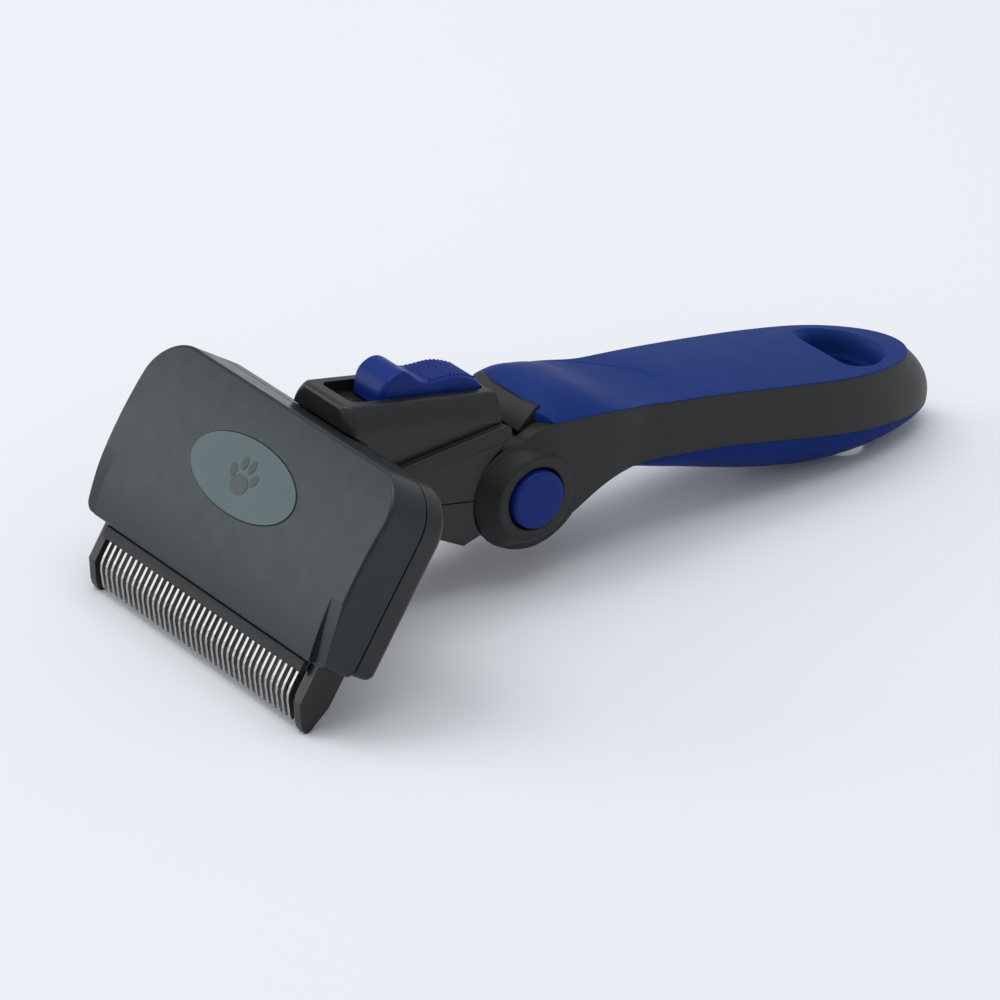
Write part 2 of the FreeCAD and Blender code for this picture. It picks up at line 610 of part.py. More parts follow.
def slider_section(x, top):
    """Upright section of the thumb slider, narrower at the two ends, with rounded upper edges."""
    from_end = min(x - SLIDER_SIDE[0][0], SLIDER_SIDE[-1][0] - x)
    missing = SLIDER_CORNER - max(0.0, min(SLIDER_CORNER, from_end))
    half = SLIDER_HALF - SLIDER_CORNER + math.sqrt(SLIDER_CORNER ** 2 - missing ** 2)
    foot = POCKET_FLOOR + 0.4
    bend = SLIDER_EDGE
    turn = bend * (1 - math.sqrt(0.5))
    sides = []
    for sign in (-1, 1):
        outer = sign * half
        sides.append([Vector(x, outer, foot), Vector(x, outer, top - bend),
                      Vector(x, outer - sign * turn, top - turn), Vector(x, outer - sign * bend, top)])
    near, far = sides
    return Part.Wire([Part.makeLine(near[0], near[1]), Part.Arc(near[1], near[2], near[3]).toShape(),
                      Part.makeLine(near[3], far[3]), Part.Arc(far[3], far[2], far[1]).toShape(),
                      Part.makeLine(far[1], far[0]), Part.makeLine(far[0], near[0])])


def slider():
    crest = [(p.x, p.z) for p in curve([(x, 0, z) for x, z in SLIDER_SIDE]).discretize(60)]
    button = Part.makeLoft([slider_section(x, z) for x, z in crest], True, True)
    ribs = []
    for index in range(RIB_COUNT):
        middle = RIB_START + index * RIB_PITCH
        ribs.append(rod(middle, value_at(crest, middle) - 0.05, 0.4, -5.1, 5.1))
    stem = block(STEM, (-STEM_HALF, STEM_HALF), (CARRIAGE_TOP, 25))
    body = button.multiFuse(ribs + [stem])
    return cut(body, [post(x, 0, 0.9, 18, 25.2) for x in CARRIAGE_SCREWS])


def slider_carriage():
    """Plate under the housing's floor with the cam pin for the rocker and the spring seats."""
    under = CARRIAGE_TOP - CARRIAGE_THICKNESS
    pin_place = ROCKER_AXIS[0] + SLIDER_TRAVEL / 2
    lug_half = ROCKER_HALF + 2.1
    tongue = block((pin_place - 2.0, -35), (-lug_half, lug_half), (under, CARRIAGE_TOP))
    plate = block((-36, -18), (-8.6, 8.6), (under, CARRIAGE_TOP))
    lugs = both_sides(block((pin_place - 1.8, pin_place + 1.8), (ROCKER_HALF + 0.4, lug_half),
                            (SLIDER_PIN_HEIGHT - 1.6, CARRIAGE_TOP - 0.5)))
    seats = both_sides(block((-36, -34.4), (4.2, 8.6), (15.0, CARRIAGE_TOP - 0.5)))
    pin = rod(pin_place, SLIDER_PIN_HEIGHT, CAM_PIN_RADIUS, -lug_half + 0.1, lug_half - 0.1)
    carriage = fuse([plate, tongue, pin] + lugs + seats)
    return cut(carriage, [post(x, 0, 1.0, 17, 22) for x in CARRIAGE_SCREWS])


def carriage_screws():
    seat = CARRIAGE_TOP - CARRIAGE_THICKNESS
    return [screw(x, 0, seat, 1, 1.8, 1.1, 0.9, 5.0) for x in CARRIAGE_SCREWS]


def slider_springs():
    """The pair of return springs, one on each side of the rocker."""
    spring = coil(1.75, 0.25, 13.0, 8)
    spring.rotate(Vector(0, 0, 0), Vector(0, 1, 0), 90)
    spring.translate(Vector(-49.0, 6.4, 17.0))
    return both_sides(spring)


# ---- pivot lock ----------------------------------------------------------------------------------
def hexagon(corner, low, high):
    points = [Vector(corner * math.cos(math.radians(60 * i)), low, corner * math.sin(math.radians(60 * i)))
              for i in range(7)]
    prism = Part.Face(Part.makePolygon(points)).extrude(Vector(0, high - low, 0))
    return tilted(prism, NECK_TILT)


def lock_button():
    """Button with its locking cone on the +Y side, pushed out by its spring."""
    cap = rod(0, 0, BUTTON_RADIUS, DRUM_HALF - 0.4, BUTTON_FACE)
    cap = rounded(cap, BUTTON_EDGE, lambda c, e: abs(c.y - BUTTON_FACE) < 0.01)
    flange_mouth = RING_THROAT + (RING_MOUTH - RING_THROAT) * (FORK_GAP - FLANGE_BACK) / (
        FORK_GAP - RING_INSET)
    flange = pivot_cone(flange_mouth - RUN, RING_THROAT - RUN, FLANGE_BACK, FORK_GAP)
    flange = flange.common(rod(0, 0, 20, FLANGE_BACK, DRUM_HALF))
    body = fuse([cap, flange])
    return body.cut(hexagon(HUB_CORNER + 0.15, FLANGE_BACK - 1, BUTTON_FACE - 2.4))


def lock_spring():
    """Spring between the drum and the button's cap, on the +Y side."""
    spring = coil(3.4, 0.35, BUTTON_FACE - 2.4 - 2.0, 6)
    spring.rotate(Vector(0, 0, 0), Vector(1, 0, 0), -90)
    spring.translate(Vector(0, 2.0, 0))
    return spring


# ---- grip ----------------------------------------------------------------------------------------
def plan_wire(t, end, grow, start=-15.5):
    """Outline of the grip seen from above at height t, closed at the front by a straight line."""
    stations = [(s, w) for s, w in GRIP_WIDTHS if s > start]
    stations = [(start, value_at(GRIP_WIDTHS, start))] + stations
    side = [(s, w + grow) for s, w in stations]
    widest = GRIP_WIDEST + grow
    arc = []
    for step in range(13):
        angle = math.radians(90 - 15 * step)
        arc.append((SHOULDER + (end + grow - SHOULDER) * math.cos(angle), widest * math.sin(angle)))
    points = side + arc + [(s, -w) for s, w in reversed(side)]
    loop = curve([(s, w, t) for s, w in points])
    front = Part.makeLine(Vector(points[-1][0], points[-1][1], t), Vector(points[0][0], points[0][1], t))
    return Part.Wire([loop, front])


def plan_solid():
    """Everything inside the grip's outline; its end leans forward towards the top."""
    wires = [plan_wire(-24, END_LOW + 2.0, -1.2), plan_wire(3, END_LOW, 0.0),
             plan_wire(12, END_MIDDLE, 0.25), plan_wire(18.2, END_HIGH + 0.2, -0.05),
             plan_wire(20.6, END_HIGH - 3.4, -0.1)]
    return Part.makeLoft(wires, True)


def band_profile():
    """Side view of the black core as a prism."""
    edges = [curve([(s, -25, t) for s, t in BAND_TOP]),
             curve([(s, -25, t) for s, t in BAND_END]),
             curve([(s, -25, t) for s, t in BAND_UNDER])]
    last = BAND_UNDER[-1]
    first = BAND_TOP[0]
    edges.append(Part.makeLine(Vector(last[0], -25, last[1]), Vector(first[0], -25, first[1])))
    return Part.Face(Part.Wire(edges)).extrude(Vector(0, 50, 0))


def core_blank():
    """The core before any pocket is cut."""
    sides = band_profile().fuse(rod(0, 0, BOSS_RADIUS, -25, 25))
    return sides.common(plan_solid()).removeSplitter()


def hole_wire(t, grow):
    """D-shaped outline of the hanging hole."""
    corner = HOLE_CORNER
    turn = corner * (1 - math.sqrt(0.5))
    flat = HOLE_FLAT - grow
    half = HOLE_HALF + grow
    points = [(flat, half - corner), (flat + turn, half - turn), (flat + corner, half)]
    for step in range(1, 8):
        angle = math.radians(90 - 22.5 * step)
        reach = HOLE_END + grow - flat - corner
        points.append((flat + corner + reach * math.cos(angle), half * math.sin(angle)))
    points += [(flat + corner, -half), (flat + turn, -half + turn), (flat, -half + corner)]
    loop = curve([(s, y, t) for s, y in points])
    front = Part.makeLine(Vector(flat, -half + corner, t), Vector(flat, half - corner, t))
    return Part.Wire([loop, front])


def hanging_hole():
    """Through hole that narrows downwards, with a soft flare at the top."""
    through = Part.makeLoft([hole_wire(-16.0, -HOLE_TAPER), hole_wire(2.0, -HOLE_TAPER / 2),
                             hole_wire(25.0, 0.3)], True)
    flare = Part.makeLoft([hole_wire(12.0, -1.2), hole_wire(16.5, 0.2), hole_wire(18.8, 1.3),
                           hole_wire(19.6, HOLE_FLARE), hole_wire(21.5, HOLE_FLARE + 2.5)], True)
    return [through, flare]


def hole_lining(grow):
    """Wall round the hanging hole, down into the core."""
    return Part.Face(hole_wire(4.6, grow)).extrude(Vector(0, 0, 13.4))


def crown_section(s, rise):
    """Closed section of the soft top at station s."""
    edge = value_at(BAND_TOP, s) + EDGE_RISE
    half = value_at(GRIP_WIDTHS + [(SHOULDER, GRIP_WIDEST)], s) + 0.05
    power = 3.0 if s < NOSE_END else 2.0
    points = []
    for step in range(-6, 7):
        share = step / 6
        points.append((s, half * share, edge + (rise - EDGE_RISE) * (1 - abs(share) ** power)))
    floor = edge - 6.0
    left = Vector(*points[0])
    right = Vector(*points[-1])
    return Part.Wire([curve(points), Part.makeLine(right, Vector(s, half, floor)),
                      Part.makeLine(Vector(s, half, floor), Vector(s, -half, floor)),
                      Part.makeLine(Vector(s, -half, floor), left)])


def lip_outline():
    """Blocks that trim the soft top's front to a lip with swept corners."""
    front = block((-30, LIP_START), (-30, 30), (-5, 30))
    corner = Part.makePolygon([Vector(LIP_START - 1, LIP_HALF, -5), Vector(LIP_START, LIP_HALF, -5),
                               Vector(4.4, 18.5, -5), Vector(4.4, 30, -5),
                               Vector(LIP_START - 1, 30, -5), Vector(LIP_START - 1, LIP_HALF, -5)])
    wedge = Part.Face(corner).extrude(Vector(0, 0, 35))
    return [front] + both_sides(wedge)


def soft_plug():
    """Keyed underside that holds the soft top in the core."""
    face = Part.Face(plan_wire(0, END_HIGH - PLUG_INSET, -PLUG_INSET, 17.0))
    prism = face.extrude(Vector(0, 0, 40))
    under = [curve([(s, -25, t - PLUG_DEPTH) for s, t in BAND_TOP]),
             Part.makeLine(Vector(130, -25, 16.0), Vector(130, -25, 20.0)),
             curve([(s, -25, t + 0.2) for s, t in reversed(BAND_TOP[:-1] + [(130.0, 19.8)])])]
    under.append(Part.makeLine(Vector(-4, -25, 15.2), Vector(-4, -25, 13.0)))
    slab = Part.Face(Part.Wire(under)).extrude(Vector(0, 50, 0))
    return prism.common(slab)


def grip_top():
    crown = Part.makeLoft([crown_section(s, c) for s, c in CROWN], True)
    outline = Part.Face(plan_wire(-5, END_HIGH, -0.1)).extrude(Vector(0, 0, 35))
    top = crown.common(outline)
    top = cut(top, lip_outline())
    top = top.cut(core_blank())
    top = biggest(top)
    lining = hole_lining(HOLE_LINING)
    top = fuse([top, soft_plug().common(core_blank()), lining])
    return cut(top, hanging_hole())


def biggest(shape):
    return max(shape.Solids, key=lambda solid: solid.Volume)


def belly_section(s, bottom):
    """Lower half of an ellipse closed well inside the core."""
    if s <= SHOULDER:
        half = value_at(GRIP_WIDTHS + [(SHOULDER, GRIP_WIDEST)], s)
    else:
        half = GRIP_WIDEST * math.sqrt(max(0.02, 1 - ((s - SHOULDER) / (END_LOW + 0.2 - SHOULDER)) ** 2))
    middle = value_at([(s0, t0) for s0, t0 in reversed(BAND_UNDER)], s) + 0.4
    points = []
    for step in range(13):
        angle = math.radians(180 + 15 * step)
        points.append((s, half * math.cos(angle), middle + (middle - bottom) * math.sin(angle)))
    top = middle + 2.0
    right = Vector(*points[-1])
    left = Vector(*points[0])
    return Part.Wire([curve(points), Part.makeLine(right, Vector(s, half, top)),
                      Part.makeLine(Vector(s, half, top), Vector(s, -half, top)),
                      Part.makeLine(Vector(s, -half, top), left)])


def handle_screw_places():
    return [(44.0, 0.5), (92.0, -4.5)]


def grip_bottom():
    belly = Part.makeLoft([belly_section(s, t) for s, t in BELLY], True)
    belly = belly.common(plan_solid())
    belly = biggest(belly.cut(core_blank()))
    tools = hanging_hole()
    for s, seat in handle_screw_places():
        tools.append(post(s, 0, 1.3, -15, 10))
        tools.append(post(s, 0, 2.6, -15, seat))
    return cut(belly, tools)


def handle_screws():
    return [screw(s, 0, seat, 1, 2.3, 1.6, 1.2, 11.5 - seat) for s, seat in handle_screw_places()]


def fork_gap():
    """Room for the neck's drum between the two arms of the grip."""
    return [block((-25, 17.5), (-FORK_GAP, FORK_GAP), (-25, 30)),
            rod(0, 0, DRUM_ROOM, -FORK_GAP, FORK_GAP)]


def boss_rim(outer):
    """Picks the outer rim of the boss's face, or the rim of the bore in it."""
    def picked(centre, edge):
        wide = edge.BoundBox.XLength > 2 * BUTTON_BORE + 1
        return abs(centre.y - BOSS_FACE) < 0.01 and wide == outer
    return picked


def handle_core():
    """Rigid core of the grip, forked at the front into the two bosses of the pivot."""
    bore = rod(0, 0, BUTTON_BORE, -25, 25)
    boss = pivot_cone(BOSS_RADIUS, BOSS_RING, BOSS_FOOT, BOSS_FACE)
    boss = boss.cut(bore)
    boss = rounded(boss, 1.1, boss_rim(outer=True))
    boss = rounded(boss, 0.7, boss_rim(outer=False))
    core = fuse([core_blank()] + both_sides(boss))
    core = cut(core, fork_gap())
    ring = rod(0, 0, RING_OUTER, RING_INSET, FORK_GAP + 0.2)
    seat = pivot_cone(RING_MOUTH, RING_THROAT, RING_INSET, FORK_GAP)
    core = core.multiFuse(both_sides(ring))
    core = cut(core, both_sides(seat))
    core = cut(core, [bore])
    cavity = block((52, 84), (-11.5, 11.5), (-2, 14.5))
    core = cut(core, [soft_plug(), hole_lining(HOLE_LINING), cavity] + hanging_hole())
    pilots = [post(s, 0, 1.2, -5, 11.6) for s, seat in handle_screw_places()]
    return cut(core, pilots)


def hinge_block():
    """Fills the fork behind the drum and slopes down in front of the lip."""
    side = [(-3.6, 15.5), (-3.6, 16.4), (1.2, 22.3), (6.0, 22.3), (17.4, 18.0), (17.4, -3.0),
            (15.0, -5.4), (8.0, -5.0)]
    body = side_prism(side, -FORK_GAP + 0.15, FORK_GAP - 0.15)
    body = body.cut(rod(0, 0, DRUM_ROOM, -20, 20))
    body = body.cut(grip_top())
    return biggest(body)


# ---- the whole tool ------------------------------------------------------------------------------
def tool():
    """Every node in the pivot frame, each a list of solids."""
    parts = {
        "front_cover": [in_head(front_cover())],
        "badge": [in_head(badge())],
        "back_shell": [in_head(back_shell())],
        "head_screws": [in_head(s) for s in head_screws()],
        "mount_screws": [in_head(s) for s in mount_screws()],
        "blade_frame": [in_head(blade_frame())],
        "comb_blade": [in_head(comb_blade())],
        "blade_screws": [in_head(s) for s in blade_screws()],
        "ejector_bar": [in_head(ejector_bar())],
        "ejector_carrier": [in_head(ejector_carrier())],
        "rocker": [rocker()],
        "rocker_pin": [in_neck(rocker_pin())],
        "neck_housing": [in_neck(neck_housing())],
        "neck_body": [neck_body()],
        "neck_bottom_cover": [neck_bottom_cover()],
        "neck_screws": [in_neck(s) for s in neck_screws()],
        "neck_trim": [in_neck(s) for s in neck_trim()],
        "slider": [in_neck(slider())],
        "slider_carriage": [in_neck(slider_carriage())],
        "carriage_screws": [in_neck(s) for s in carriage_screws()],
        "slider_springs": [in_neck(s) for s in slider_springs()],
        "lock_button_near": [mirrored(lock_button())],
        "lock_button_far": [lock_button()],
        "lock_spring_near": [mirrored(lock_spring())],
        "lock_spring_far": [lock_spring()],
        "handle_core": [in_grip(handle_core())],
        "hinge_block": [in_grip(hinge_block())],
        "grip_top": [in_grip(grip_top())],
        "grip_bottom": [in_grip(grip_bottom())],
        "handle_screws": [in_grip(s) for s in handle_screws()],
    }
    return parts


def main():
    os.makedirs("parts", exist_ok=True)
    parts = tool()
    whole = Part.makeCompound([solid for solids in parts.values() for solid in solids])
    box = whole.optimalBoundingBox(False, False)
    shift = Vector(-(box.XMin + box.XMax) / 2, -(box.YMin + box.YMax) / 2, -box.ZMin)
    for name, solids in parts.items():
        shape = solids[0] if len(solids) == 1 else Part.makeCompound(solids)
        shape.translate(shift)
        shape.exportStep("parts/" + name + ".step")


main()
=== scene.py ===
"""Looks for the pivoting deshedding tool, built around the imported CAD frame."""
import json
import math

import bpy
from mathutils import Matrix, Vector

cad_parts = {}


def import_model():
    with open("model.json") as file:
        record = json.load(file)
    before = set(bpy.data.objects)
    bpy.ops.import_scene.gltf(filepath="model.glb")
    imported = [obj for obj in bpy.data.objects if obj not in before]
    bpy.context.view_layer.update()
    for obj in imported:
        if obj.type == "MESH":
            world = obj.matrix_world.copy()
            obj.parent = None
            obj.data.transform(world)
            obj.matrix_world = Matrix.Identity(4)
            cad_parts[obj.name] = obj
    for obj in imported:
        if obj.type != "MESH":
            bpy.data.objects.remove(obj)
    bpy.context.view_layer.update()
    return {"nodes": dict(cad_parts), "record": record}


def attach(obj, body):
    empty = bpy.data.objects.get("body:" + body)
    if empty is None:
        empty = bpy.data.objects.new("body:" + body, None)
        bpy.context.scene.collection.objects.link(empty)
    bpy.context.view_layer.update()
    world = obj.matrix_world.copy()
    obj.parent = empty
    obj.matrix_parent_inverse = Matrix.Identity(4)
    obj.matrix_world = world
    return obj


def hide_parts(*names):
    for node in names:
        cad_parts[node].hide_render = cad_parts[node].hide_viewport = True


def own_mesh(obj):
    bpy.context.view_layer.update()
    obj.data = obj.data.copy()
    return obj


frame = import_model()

nodes = frame["nodes"]
subparts = frame["record"]["subparts"]
joints = {joint["name"]: joint for joint in frame["record"]["behaviour"]["joints"]}


# ---- frames of the head, the neck and the grip -----------------------------------------------------
MM = 0.001
PIVOT = Vector(joints["neck_tilt"]["pos_m"])
GRIP_TILT = math.radians(8.8)
HEAD_TILT = math.radians(33.2)
HEAD_FOOT = PIVOT + Vector((-91.7, 0.0, -3.5)) * MM


def head_frame():
    """From millimetres in the head, X across it and Y up its cover, to metres in the row frame."""
    sine, cosine = math.sin(HEAD_TILT), math.cos(HEAD_TILT)
    turn = Matrix(((0, sine, -cosine), (-1, 0, 0), (0, cosine, sine))).to_4x4()
    return Matrix.Translation(HEAD_FOOT) @ turn @ Matrix.Scale(MM, 4)


HEAD = head_frame()


# ---- node graph helper -----------------------------------------------------------------------------
BEVEL_SAMPLES = 6
NOISE_MIDDLE = (0.3, 0.7)


class Graph:
    """A material's node tree with short calls to add and link nodes."""

    def __init__(self, name):
        self.material = bpy.data.materials.new(name)
        self.material.use_nodes = True
        self.tree = self.material.node_tree
        self.tree.nodes.clear()
        self.output = self.add("ShaderNodeOutputMaterial")
        self.shader = self.add("ShaderNodeBsdfPrincipled")
        self.link(self.shader.outputs["BSDF"], self.output.inputs["Surface"])
        self.place = self.add("ShaderNodeTexCoord").outputs["Object"]

    def add(self, kind, **settings):
        node = self.tree.nodes.new(kind)
        for key, value in settings.items():
            setattr(node, key, value)
        return node

    def link(self, source, target):
        self.tree.links.new(source, target)

    def feed(self, target, value):
        """Links a socket, or sets a number."""
        if isinstance(value, bpy.types.NodeSocket):
            self.link(value, target)
        else:
            target.default_value = value

    def noise(self, scale, detail=3.0, roughness=0.5, stretch=None):
        """Noise over the object; scale is per metre, and stretch scales X, Y and Z apart."""
        node = self.add("ShaderNodeTexNoise")
        node.inputs["Scale"].default_value = scale
        node.inputs["Detail"].default_value = detail
        node.inputs["Roughness"].default_value = roughness
        place = self.place
        if stretch:
            mapping = self.add("ShaderNodeMapping")
            mapping.inputs["Scale"].default_value = stretch
            self.link(place, mapping.inputs["Vector"])
            place = mapping.outputs["Vector"]
        self.link(place, node.inputs["Vector"])
        return node.outputs["Fac"]

    def colour(self, value, low, high, between=NOISE_MIDDLE):
        """Base colour that goes from low to high as value crosses the stretch given by between."""
        node = self.add("ShaderNodeValToRGB")
        for element, position, shown in zip(node.color_ramp.elements, between, (low, high)):
            element.position = position
            element.color = (*shown, 1.0)
        self.link(value, node.inputs["Fac"])
        self.link(node.outputs["Color"], self.shader.inputs["Base Color"])

    def span(self, value, low, high, between=NOISE_MIDDLE, easing="LINEAR"):
        """Number that goes from low to high as value crosses the stretch given by between."""
        node = self.add("ShaderNodeMapRange", interpolation_type=easing)
        limits = {"From Min": between[0], "From Max": between[1], "To Min": low, "To Max": high}
        for name, number in limits.items():
            node.inputs[name].default_value = number
        self.link(value, node.inputs["Value"])
        return node.outputs["Result"]

    def gloss(self, value, low, high):
        self.link(self.span(value, low, high), self.shader.inputs["Roughness"])

    def math(self, kind, a, b):
        node = self.add("ShaderNodeMath", operation=kind)
        self.feed(node.inputs[0], a)
        self.feed(node.inputs[1], b)
        return node.outputs["Value"]

    def surface(self, height, depth, edge):
        """Bump of the given depth over edges softened by the radius edge, both in metres."""
        bevel = self.add("ShaderNodeBevel", samples=BEVEL_SAMPLES)
        bevel.inputs["Radius"].default_value = edge
        bump = self.add("ShaderNodeBump")
        bump.inputs["Strength"].default_value = 1.0
        bump.inputs["Distance"].default_value = depth
        self.link(height, bump.inputs["Height"])
        self.link(bevel.outputs["Normal"], bump.inputs["Normal"])
        self.link(bump.outputs["Normal"], self.shader.inputs["Normal"])

    def set(self, **values):
        """Constants on the shader's own sockets."""
        for name, value in values.items():
            self.shader.inputs[name.replace("_", " ")].default_value = value


def shade(colour, factor):
    return tuple(channel * factor for channel in colour)


# ---- kinds of material; lengths in metres, noise scales per metre ----------------------------------
DRIFT_SCALE = 90
GLOSS_SCALE = 220
GLOSS_ROUGHNESS = 0.6
GLOSS_SPREAD = (-0.03, 0.04)


def moulded(g, colour, rough, spread):
    """Slow tone drift and uneven gloss, as on any moulded surface."""
    g.colour(g.noise(DRIFT_SCALE), shade(colour, 1 - spread), shade(colour, 1 + spread))
    uneven = g.noise(GLOSS_SCALE, 4.0, GLOSS_ROUGHNESS)
    g.gloss(uneven, rough + GLOSS_SPREAD[0], rough + GLOSS_SPREAD[1])


def plastic(name, colour, rough, edge, grain=0.00001, grain_scale=2600, spread=0.06, specular=0.5,
            tint=(1.0, 1.0, 1.0)):
    """Moulded plastic with a fine grain."""
    g = Graph(name)
    moulded(g, colour, rough, spread)
    g.surface(g.noise(grain_scale, 2.0), grain, edge)
    g.set(Specular_IOR_Level=specular, Specular_Tint=(*tint, 1.0))
    return g.material


def steel(name, colour, rough, stretch=(1.0, 1.0, 1.0), edge=0.00012):
    """Ground or drawn steel; stretch draws its fine marks out."""
    g = Graph(name)
    streak = g.noise(900, 3.0, 0.6, stretch)
    g.colour(streak, shade(colour, 0.8), shade(colour, 1.1))
    g.gloss(streak, rough - 0.06, rough + 0.08)
    g.surface(streak, 0.000004, edge)
    g.set(Metallic=1.0)
    return g.material


def speckled(name, colour, fleck, rough, edge):
    """Sand-textured plastic with light flecks."""
    g = Graph(name)
    flecks = g.noise(2400, 2.0, 0.6)
    g.colour(flecks, colour, fleck, between=(0.45, 0.62))
    g.gloss(flecks, rough - 0.1, rough + 0.05)
    g.surface(flecks, 0.00006, edge)
    g.set(Specular_IOR_Level=0.22)
    return g.material


# Outline of the thumb rest: where it ends on the grip's middle line, measured along the grip from
# the pivot, how much its end comes forward with the square of the distance to the side, and the
# stretch over which the surface steps up.
THUMB_REST_END = 0.046
THUMB_REST_CURVE = 62.0
THUMB_REST_STEP = (-0.0016, 0.0012)
THUMB_REST_DEPTH = 0.00035
RUBBER_GRAIN = 0.05


def along_grip(g, axes):
    """Distance from the pivot, measured along the grip."""
    back = g.math("MULTIPLY", g.math("SUBTRACT", axes.outputs["X"], PIVOT.x), math.cos(GRIP_TILT))
    up = g.math("MULTIPLY", g.math("SUBTRACT", axes.outputs["Z"], PIVOT.z), -math.sin(GRIP_TILT))
    return g.math("ADD", back, up)


def soft_grip(name, colour, rough, edge):
    """Soft rubber with the shallow step of the thumb rest pressed into it."""
    g = Graph(name)
    moulded(g, colour, rough, 0.05)
    axes = g.add("ShaderNodeSeparateXYZ")
    g.link(g.place, axes.inputs["Vector"])
    past_end = g.math("SUBTRACT", along_grip(g, axes), THUMB_REST_END)
    side_squared = g.math("MULTIPLY", axes.outputs["Y"], axes.outputs["Y"])
    behind = g.math("ADD", past_end, g.math("MULTIPLY", side_squared, THUMB_REST_CURVE))
    step = g.span(behind, 0.0, 1.0, THUMB_REST_STEP, "SMOOTHERSTEP")
    grain = g.math("MULTIPLY", g.noise(3200, 2.0), RUBBER_GRAIN)
    g.surface(g.math("ADD", step, grain), THUMB_REST_DEPTH, edge)
    g.set(Specular_IOR_Level=0.15)
    return g.material


# ---- the tool's materials --------------------------------------------------------------------------
def slot_materials():
    """One material for each slot of the record."""
    return {
        "slate_plastic": plastic("slate_plastic", (0.0105, 0.0128, 0.0145), 0.33, 0.0005,
                                 grain=0.000004, specular=0.40, tint=(0.80, 0.94, 1.0)),
        "badge_enamel": plastic("badge_enamel", (0.056, 0.095, 0.101), 0.36, 0.0001,
                                grain=0.000003, specular=0.36),
        "black_plastic": plastic("black_plastic", (0.0115, 0.0118, 0.0125), 0.34, 0.0004,
                                 grain=0.000006, specular=0.38),
        "band_plastic": plastic("band_plastic", (0.0145, 0.0143, 0.0140), 0.44, 0.0004,
                                specular=0.32),
        "strip_plastic": speckled("strip_plastic", (0.012, 0.0145, 0.016), (0.04, 0.048, 0.054),
                                  0.5, 0.0001),
        "white_acetal": plastic("white_acetal", (0.62, 0.62, 0.58), 0.4, 0.0002),
        "blue_rubber": soft_grip("blue_rubber", (0.0030, 0.0245, 0.160), 0.55, 0.0005),
        "blue_plastic": plastic("blue_plastic", (0.005, 0.023, 0.175), 0.32, 0.0004,
                                grain=0.000006, specular=0.13),
        "comb_steel": steel("comb_steel", (0.42, 0.41, 0.395), 0.3, stretch=(1.0, 0.4, 1.0)),
        "screw_steel": steel("screw_steel", (0.5, 0.5, 0.52), 0.32),
        "spring_steel": steel("spring_steel", (0.45, 0.45, 0.46), 0.28),
    }


def paint():
    """Every CAD piece takes its slot's material; the belly takes a duller, darker copy of the blue,
    whose darker colour is painted shade on the downward-facing underside.
    """
    looks = slot_materials()
    # Painted shade: the belly's blue is darker and less glossy than the top's, standing in for the
    # shade under the grip.
    painted_shade_belly = plastic("blue_belly_painted_shade", (0.0045, 0.021, 0.145), 0.5, 0.0005, grain=0.00002,
                        grain_scale=3200, spread=0.05, specular=0.06)
    for subpart in subparts:
        node = subpart["node"]
        look = painted_shade_belly if node == "grip_bottom" else looks[subpart["material_slot"]]
        for material_slot in nodes[node].material_slots:
            material_slot.material = look


# ---- paw motif on the badge, in millimetres in the head's frame ------------------------------------
BADGE_MIDDLE = 29.8
CROWN_MIDDLE = 25.0
CROWN_RADIUS = 115.0
BADGE_LIFT = 0.25
OVAL_LIFT = 0.10
OVAL_SINK = -0.05
OVAL_RINGS = 6
OVAL_SIDES = 48
PAD = (0.0, -1.9, 3.3, 2.5, 0.0)
TOES = ((-4.3, 0.6, 0.45), (-1.6, 3.3, 0.12), (1.6, 3.3, -0.12), (4.3, 0.6, -0.45))
TOE_HALF_X = 1.15
TOE_HALF_Y = 1.75


def motif_point(x, y, lift):
    """Point at a height over the badge's crowned face, in metres."""
    face = math.sqrt((CROWN_RADIUS + BADGE_LIFT) ** 2 - (y - CROWN_MIDDLE) ** 2) - CROWN_RADIUS
    return HEAD @ Vector((x, y, face + lift))


def ring_points(x, y, half_x, half_y, turn, lift):
    """Points round an oval about (x, y), turned by an angle in radians."""
    points = []
    for side in range(OVAL_SIDES):
        angle = 2 * math.pi * side / OVAL_SIDES
        across, along = half_x * math.cos(angle), half_y * math.sin(angle)
        points.append(motif_point(x + across * math.cos(turn) - along * math.sin(turn),
                                  y + across * math.sin(turn) + along * math.cos(turn), lift))
    return points


def oval_patch(name, x, y, half_x, half_y, turn, material):
    """Thin raised oval that follows the badge; its last ring drops into the badge."""
    y += BADGE_MIDDLE
    points = [motif_point(x, y, OVAL_LIFT)]
    for ring in range(OVAL_RINGS):
        share = (ring + 1) / OVAL_RINGS
        points += ring_points(x, y, half_x * share, half_y * share, turn, OVAL_LIFT)
    points += ring_points(x, y, half_x, half_y, turn, OVAL_SINK)

    faces = [(0, 1 + side, 1 + (side + 1) % OVAL_SIDES) for side in range(OVAL_SIDES)]
    for ring in range(OVAL_RINGS):
        inner = 1 + ring * OVAL_SIDES
        outer = inner + OVAL_SIDES
        for side in range(OVAL_SIDES):
            after = (side + 1) % OVAL_SIDES
            faces.append((inner + side, outer + side, outer + after, inner + after))

    mesh = bpy.data.meshes.new(name)
    mesh.from_pydata([tuple(point) for point in points], [], faces)
    mesh.materials.append(material)
    patch = bpy.data.objects.new(name, mesh)
    bpy.context.collection.objects.link(patch)
    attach(patch, "head")


def paw():
    motif = plastic("badge_motif", (0.040, 0.056, 0.060), 0.4, 0.00005, grain=0.000002,
                    specular=0.35)
    oval_patch("paw_pad", *PAD, motif)
    for number, (x, y, turn) in enumerate(TOES, start=1):
        oval_patch(f"paw_toe_{number}", x, y, TOE_HALF_X, TOE_HALF_Y, turn, motif)


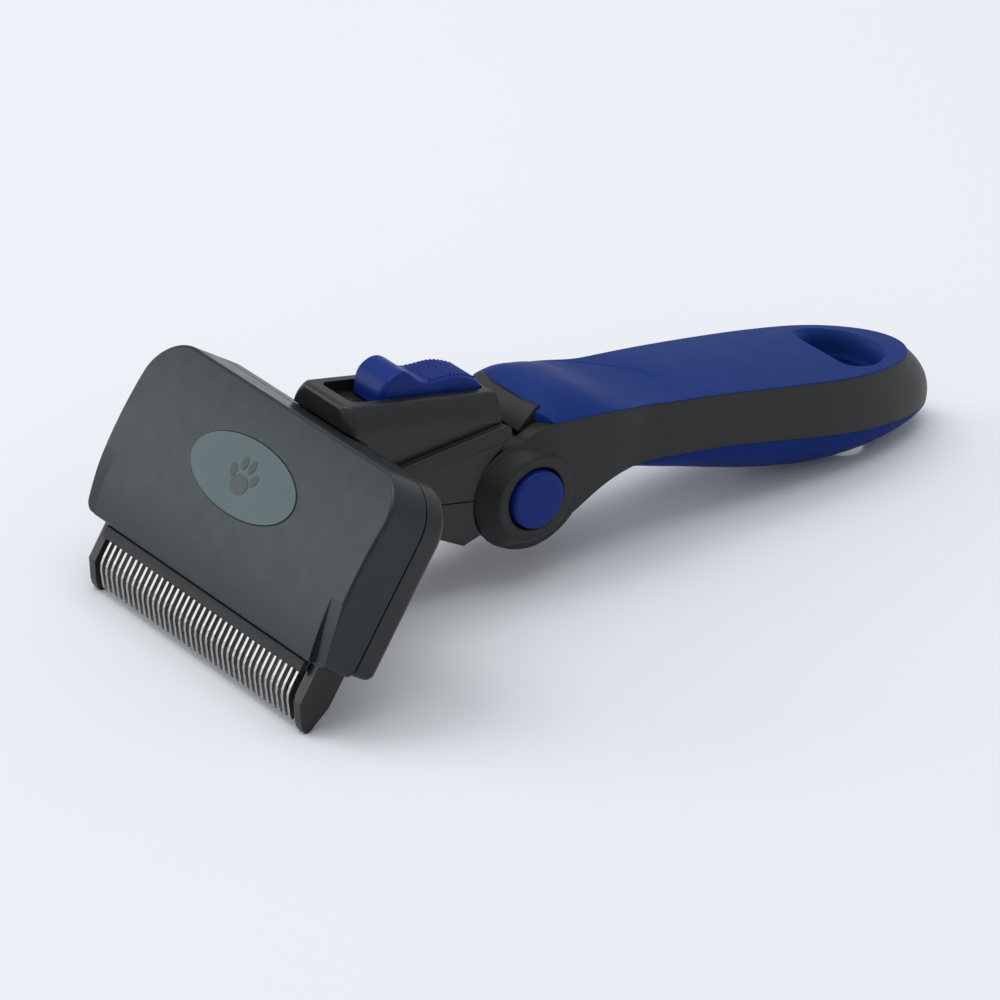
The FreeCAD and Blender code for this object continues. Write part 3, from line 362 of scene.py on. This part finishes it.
def working_spring(node):
    """Stands for a CAD spring with a copy of its mesh that rides on the head."""
    spring = bpy.data.objects.new(node + "_coils", nodes[node].data.copy())
    bpy.context.collection.objects.link(spring)
    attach(spring, "head")
    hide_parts(node)
    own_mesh(spring)


def springs():
    working_spring("slider_springs")
    for side in ("near", "far"):
        working_spring(f"lock_spring_{side}")


# ---- floor, light and camera, in metres ------------------------------------------------------------
FLOOR_HALF = 12.0
FLOOR_DARK = (0.786, 0.806, 0.842)
FLOOR_LIGHT = (0.794, 0.814, 0.850)
# Each light's place, the point that it faces, the side of its square and its power in watts.
LIGHTS = {
    "key": ((-0.55, 0.7, 1.8), (0.0, 0.0, 0.02), 1.0, 8.5),
    "sheen": ((-1.45, 1.6, 0.72), (-0.08, 0.0, 0.05), 1.3, 10.3),
    "over": ((0.2, 0.0, 1.9), (0.0, 0.0, 0.0), 1.6, 12.0),
}
SKY_COLOUR = (0.95, 0.97, 1.0, 1.0)
SKY_STRENGTH = 0.6
CAMERA_FROM_PIVOT = Vector((-0.8430, -1.1510, 0.7402))
CAMERA_LOOKS = Vector((0.5242, 0.7138, -0.4645))
CAMERA_SENSOR_MM = 36.0
CAMERA_LENS_MM = 230.4
CAMERA_REACH = 20.0


def floor():
    corners = [(-1, -1), (1, -1), (1, 1), (-1, 1)]
    mesh = bpy.data.meshes.new("floor")
    mesh.from_pydata([(x * FLOOR_HALF, y * FLOOR_HALF, 0) for x, y in corners], [], [(0, 1, 2, 3)])
    sheet = bpy.data.objects.new("floor", mesh)
    bpy.context.collection.objects.link(sheet)
    g = Graph("floor_paper")
    tone = g.noise(0.8, 2.0)
    g.colour(tone, FLOOR_DARK, FLOOR_LIGHT)
    g.gloss(tone, 0.85, 0.9)
    g.set(Specular_IOR_Level=0.1)
    mesh.materials.append(g.material)


def lights():
    for name, (place, target, side, watts) in LIGHTS.items():
        light = bpy.data.lights.new(name, "AREA")
        light.shape = "SQUARE"
        light.size = side
        light.energy = watts
        lamp = bpy.data.objects.new(name, light)
        bpy.context.collection.objects.link(lamp)
        lamp.location = place
        facing = Vector(target) - Vector(place)
        lamp.rotation_euler = facing.to_track_quat("-Z", "Y").to_euler()


def world():
    studio = bpy.data.worlds.new("studio")
    studio.use_nodes = True
    background = studio.node_tree.nodes["Background"]
    background.inputs["Color"].default_value = SKY_COLOUR
    background.inputs["Strength"].default_value = SKY_STRENGTH
    bpy.context.scene.world = studio


def camera():
    data = bpy.data.cameras.new("camera")
    data.sensor_width = CAMERA_SENSOR_MM
    data.lens = CAMERA_LENS_MM
    data.clip_end = CAMERA_REACH
    viewer = bpy.data.objects.new("camera", data)
    bpy.context.collection.objects.link(viewer)
    viewer.location = PIVOT + CAMERA_FROM_PIVOT
    viewer.rotation_euler = CAMERA_LOOKS.to_track_quat("-Z", "Y").to_euler()
    bpy.context.scene.camera = viewer


paint()
paw()
springs()
floor()
lights()
world()
camera()
bpy.context.scene.view_settings.view_transform = "Standard"
